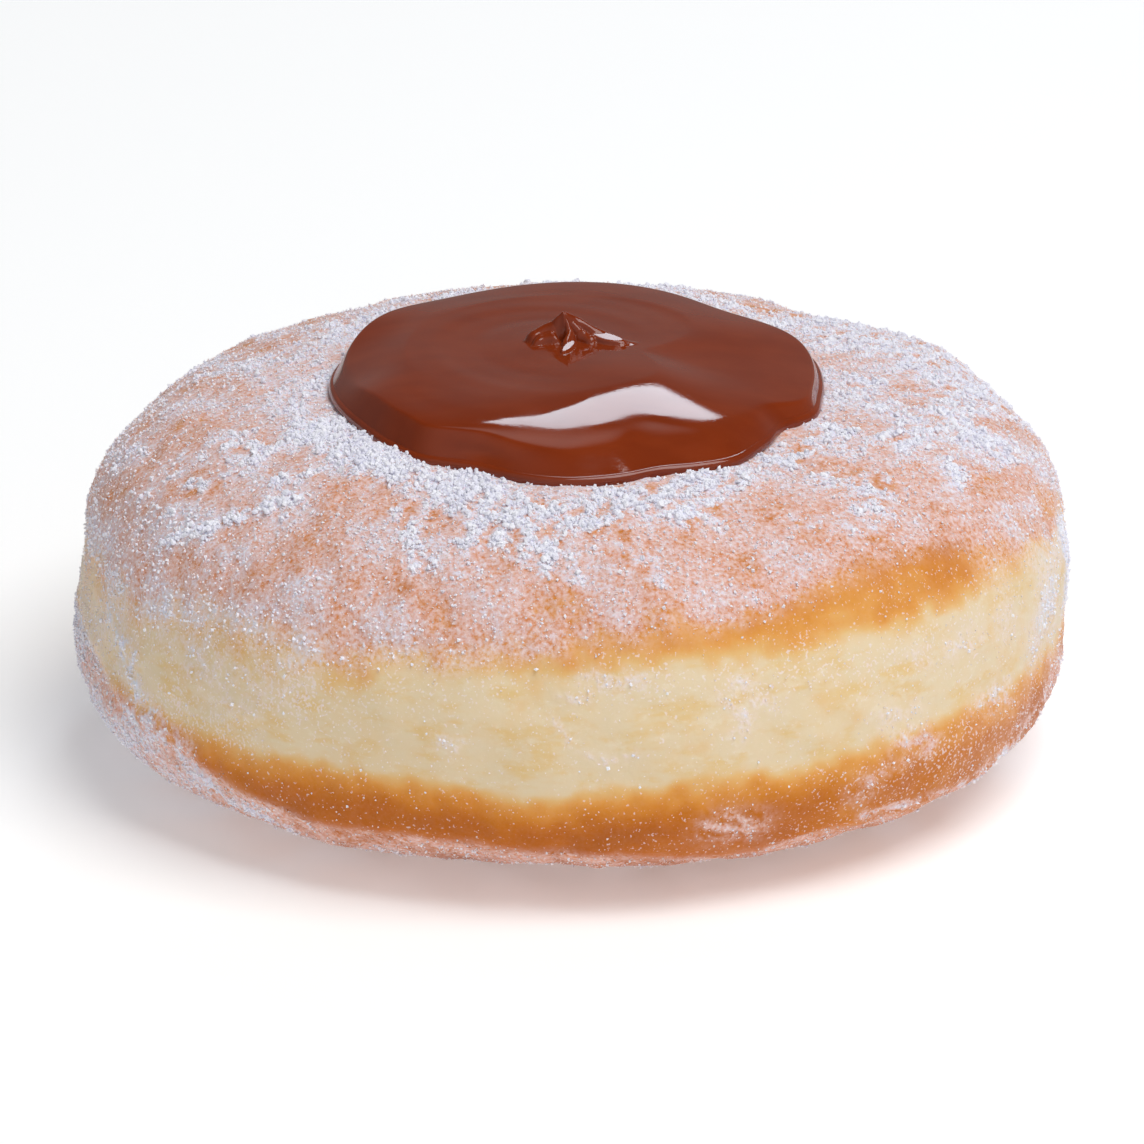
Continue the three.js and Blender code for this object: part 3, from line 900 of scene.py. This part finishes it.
# How rough each is, from its smoothest to its roughest.
DOUGH_ROUGHNESS = (0.55, 0.9)
CREAM_ROUGHNESS = (0.04, 0.08)
SUGAR_ROUGHNESS = (0.75, 0.95)

FLOOR_COLOUR = (246, 246, 246)
FLOOR_GLOW = 0.22


# ---------------------------------------------------------------- shader helpers


def srgb(red, green, blue):
    """A colour as seen on a screen, 0 to 255, as linear light."""
    parts = [value / 255 for value in (red, green, blue)]
    return [p / 12.92 if p <= 0.04045 else ((p + 0.055) / 1.055) ** 2.4 for p in parts] + [1]


def give(tree, socket, value):
    """A socket's input, as a value or as another socket to link."""
    if isinstance(value, bpy.types.NodeSocket):
        tree.links.new(value, socket)
    else:
        socket.default_value = value


def add(tree, kind, inputs=None, **settings):
    """A shader node with its settings and its inputs."""
    made = tree.nodes.new(kind)
    for name, value in settings.items():
        setattr(made, name, value)
    for name, value in (inputs or {}).items():
        give(tree, made.inputs[name], value)
    return made


def noise(tree, size, detail=2, roughness=0.5, stretch=(1, 1, 1)):
    """Noise whose lumps have a size in millimetres, about 0.5 in the middle."""
    place = add(tree, "ShaderNodeTexCoord").outputs["Object"]
    mapping = add(tree, "ShaderNodeMapping", {"Vector": place, "Scale": stretch})
    inputs = {
        "Vector": mapping.outputs["Vector"],
        "Scale": 1 / (size * MM),
        "Detail": detail,
        "Roughness": roughness,
    }
    return add(tree, "ShaderNodeTexNoise", inputs).outputs["Fac"]


def math_node(tree, operation, first, second, clamp=False):
    inputs = {0: first, 1: second}
    return add(tree, "ShaderNodeMath", inputs, operation=operation, use_clamp=clamp).outputs[0]


def times(tree, first, second):
    return math_node(tree, "MULTIPLY", first, second)


def map_range(tree, value, low, high, to_low=0.0, to_high=1.0):
    """From one value to another, in a soft curve, while the input runs from low to high."""
    inputs = {"Value": value, "From Min": low, "From Max": high, "To Min": to_low, "To Max": to_high}
    return add(tree, "ShaderNodeMapRange", inputs, interpolation_type="SMOOTHSTEP").outputs["Result"]


def mix(tree, factor, first, second):
    """From one colour to another, by sockets 0, 6 and 7, which are those for colours."""
    inputs = {0: factor, 6: first, 7: second}
    return add(tree, "ShaderNodeMix", inputs, data_type="RGBA").outputs[2]


def ramp(tree, value, stops):
    made = add(tree, "ShaderNodeValToRGB", {"Fac": value})
    elements = made.color_ramp.elements
    while len(elements) < len(stops):
        elements.new(0.5)
    for element, (position, colour) in zip(elements, stops):
        element.position = position
        element.color = srgb(*colour)
    return made.outputs["Color"]


def attribute(tree, name):
    return add(tree, "ShaderNodeAttribute", attribute_name=name).outputs["Fac"]


def new_material(name, inputs):
    material = bpy.data.materials.new(name)
    material.use_nodes = True
    tree = material.node_tree
    tree.nodes.clear()
    surface = add(tree, "ShaderNodeBsdfPrincipled", inputs)
    add(tree, "ShaderNodeOutputMaterial", {"Surface": surface.outputs["BSDF"]})
    return material, tree, surface


def dress(tree, surface, colour, roughness, height, depth, strength):
    """A surface's colour, roughness and fine relief, whose depth is in millimetres."""
    inputs = {"Height": height, "Distance": depth * MM, "Strength": strength}
    bump = add(tree, "ShaderNodeBump", inputs)
    tree.links.new(colour, surface.inputs["Base Color"])
    tree.links.new(roughness, surface.inputs["Roughness"])
    tree.links.new(bump.outputs["Normal"], surface.inputs["Normal"])


# ---------------------------------------------------------------- materials


def crust_colour(tree, sugar):
    """The dough under the sugar: rosy where sugar lies on the crust, patchy on the belt."""
    uneven = times(tree, noise(tree, 2.4, detail=3), 0.16)
    mottle = math_node(tree, "SUBTRACT", uneven, 0.08)
    toast = math_node(tree, "ADD", attribute(tree, "browning"), mottle, clamp=True)
    crust = ramp(tree, toast, CRUST_COLOURS)
    rosy = times(tree, map_range(tree, sugar, 0.2, 0.4), map_range(tree, toast, 0.25, 0.45))
    crust = mix(tree, rosy, crust, srgb(*ROSY_CRUST))
    pale = map_range(tree, toast, 0.22, 0.05)
    for patches in BELT_PATCHES:
        lumps = noise(tree, **patches["noise"])
        share = map_range(tree, lumps, *patches["range"], 0, patches["most"])
        crust = mix(tree, times(tree, share, pale), crust, srgb(*patches["colour"]))
    return crust


def film_cover(tree, sugar, speck):
    """How much of the dough the film and the single grains hide, speckled at its edges."""
    contrast = map_range(tree, sugar, 0.02, 0.36, 0.1, 1.8)
    speckle = times(tree, math_node(tree, "SUBTRACT", speck, 0.5), contrast)
    film = math_node(tree, "ADD", sugar, speckle, clamp=True)
    film = math_node(tree, "MINIMUM", film, FILM_MOST)
    likely = times(tree, attribute(tree, "sprinkle"), 0.2)
    single = math_node(tree, "ADD", noise(tree, 0.26, detail=1, roughness=0.4), likely)
    single = map_range(tree, single, 0.7, 0.84, 0, SINGLE_GRAINS_MOST)
    return math_node(tree, "MAXIMUM", film, single)


def dough_material():
    constants = {
        "Sheen Weight": 0.06,
        "Sheen Roughness": 0.5,
        "Sheen Tint": srgb(*SHEEN),
        "Specular IOR Level": 0.2,
        "Subsurface Weight": 0.12,
        "Subsurface Radius": (1.0, 0.45, 0.2),
        "Subsurface Scale": 1.2 * MM,
    }
    material, tree, surface = new_material("fried_dough", constants)
    sugar = attribute(tree, "sugar")
    speck = noise(tree, 0.36, roughness=0.6)
    cover = film_cover(tree, sugar, speck)
    powder = mix(tree, map_range(tree, sugar, 0.32, 0.68), srgb(*FILM_THIN), srgb(*FILM_THICK))
    colour = mix(tree, cover, crust_colour(tree, sugar), powder)
    roughness = map_range(tree, cover, 0, 1, *DOUGH_ROUGHNESS)
    grit = times(tree, speck, map_range(tree, sugar, 0.05, 0.5, 0.15, 1.0))
    pores = times(tree, noise(tree, 0.9, detail=3), 0.5)
    height = math_node(tree, "ADD", grit, pores)
    dress(tree, surface, colour, roughness, height, depth=0.12, strength=0.6)
    return material


def cream_material():
    constants = {
        "IOR": 1.45,
        "Subsurface Weight": 0.06,
        "Subsurface Radius": (1.0, 0.3, 0.1),
        "Subsurface Scale": 1.0 * MM,
    }
    material, tree, surface = new_material("chocolate_cream", constants)
    dark, light = CREAM_COLOURS
    streak = map_range(tree, noise(tree, 6, detail=3, stretch=(1, 1.8, 1)), 0.3, 0.7)
    colour = mix(tree, streak, srgb(*dark), srgb(*light))
    roughness = map_range(tree, noise(tree, 3), 0.35, 0.65, *CREAM_ROUGHNESS)
    frost = map_range(tree, noise(tree, 7, detail=1), 0.45, 0.6, 0.1, 1)
    height = times(tree, noise(tree, 0.3), frost)
    dress(tree, surface, colour, roughness, height, depth=0.012, strength=0.5)
    return material


def sugar_material(name, dark, light):
    constants = {"Specular IOR Level": 0.4, "Sheen Weight": 0.1}
    material, tree, surface = new_material(name, constants)
    tone = map_range(tree, noise(tree, 0.8), 0.3, 0.7)
    colour = mix(tree, tone, srgb(*dark), srgb(*light))
    roughness = map_range(tree, noise(tree, 0.5, detail=1), 0.3, 0.7, *SUGAR_ROUGHNESS)
    dress(tree, surface, colour, roughness, noise(tree, 0.12), depth=0.03, strength=0.4)
    return material


def floor_material():
    constants = {
        "Base Color": srgb(*FLOOR_COLOUR),
        "Roughness": 0.9,
        "Specular IOR Level": 0.1,
        "Emission Color": (1, 1, 1, 1),
        "Emission Strength": FLOOR_GLOW,
    }
    return new_material("studio_floor", constants)[0]


# ---------------------------------------------------------------- stage, light and camera


def aim(thing, place, target):
    thing.location = Vector(place) * MM
    direction = Vector(target) - Vector(place)
    thing.rotation_euler = direction.to_track_quat("-Z", "Y").to_euler()


def area_light(name, place, target, size, power, colour=(1, 1, 1)):
    light = bpy.data.lights.new(name, "AREA")
    light.shape = "RECTANGLE"
    light.size, light.size_y = size[0] * MM, size[1] * MM
    light.energy = power
    light.color = colour
    lamp = bpy.data.objects.new(name, light)
    bpy.context.scene.collection.objects.link(lamp)
    aim(lamp, place, target)
    return lamp


def studio_floor():
    sides = ((-1, -1), (1, -1), (1, 1), (-1, 1))
    corners = [(x * FLOOR_HALF, y * FLOOR_HALF, FLOOR_LEVEL) for x, y in sides]
    floor = new_object("studio_floor", np.array(corners), [[0, 1, 2, 3]])
    floor.data.materials.append(floor_material())


def studio_lights():
    area_light("key", **KEY_LIGHT)
    strip = area_light("strip", **STRIP_LIGHT)
    strip.rotation_euler.rotate_axis("Z", math.radians(STRIP_ROLL))


def studio_walls():
    """Soft light from all round, by the direction it comes from."""
    world = bpy.data.worlds.new("studio")
    bpy.context.scene.world = world
    world.use_nodes = True
    tree = world.node_tree
    tree.nodes.clear()
    direction = add(tree, "ShaderNodeTexCoord").outputs["Generated"]
    parts = add(tree, "ShaderNodeSeparateXYZ", {"Vector": direction}).outputs
    towards = {0: direction, 1: GLOW_DIRECTION}
    nearness = add(tree, "ShaderNodeVectorMath", towards, operation="DOT_PRODUCT").outputs["Value"]
    glow = map_range(tree, nearness, GLOW_EDGE, 1, 0, GLOW_STRENGTH)
    back = map_range(tree, parts["Z"], 0.2, 0.8, BACK_LOW, BACK_HIGH)
    back = math_node(tree, "ADD", back, glow)
    level = map_range(tree, parts["Y"], 0.15, -0.6, back, FRONT_BRIGHTNESS)
    right = map_range(tree, parts["X"], -0.8, 0.8, LEFT_SHARE, RIGHT_SHARE)
    aside = math_node(tree, "ABSOLUTE", parts["X"], 0)
    share = times(tree, right, map_range(tree, aside, 0.3, 1.0, 1, SIDEWAYS_SHARE))
    inputs = {"Color": (1, 1, 1, 1), "Strength": times(tree, level, share)}
    background = add(tree, "ShaderNodeBackground", inputs)
    add(tree, "ShaderNodeOutputWorld", {"Surface": background.outputs[0]})


def camera():
    lens = bpy.data.cameras.new("camera")
    lens.lens = CAMERA_LENS
    lens.sensor_width = CAMERA_SENSOR
    lens.clip_end = CAMERA_REACH
    made = bpy.data.objects.new("camera", lens)
    bpy.context.scene.collection.objects.link(made)
    aim(made, CAMERA_PLACE, CAMERA_AIM)
    bpy.context.scene.camera = made


camera()
studio_floor()
studio_lights()
studio_walls()
bpy.context.scene.view_settings.view_transform = "Standard"

bun_tree = smoothed_solid("bun")
bun, bun_points, bun_sugar, bun_grains = bun_piece(bun_tree)
pool, pool_radii = pool_piece(smoothed_solid("chocolate_topping"), bun_tree)
grains = sugar_pieces(bun_points, bun_sugar, bun_grains, pool_radii)

bun.data.materials.append(dough_material())
pool.data.materials.append(cream_material())
dust_white = sugar_material("powdered_sugar_dust", *DUST_COLOURS)
grain_white = sugar_material("powdered_sugar", *GRAIN_COLOURS)
for piece, white in zip(grains, (dust_white, grain_white, grain_white)):
    piece.data.materials.append(white)
    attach(piece, "root")
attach(bun, "root")
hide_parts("bun")
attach(pool, "root")
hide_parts("chocolate_topping")
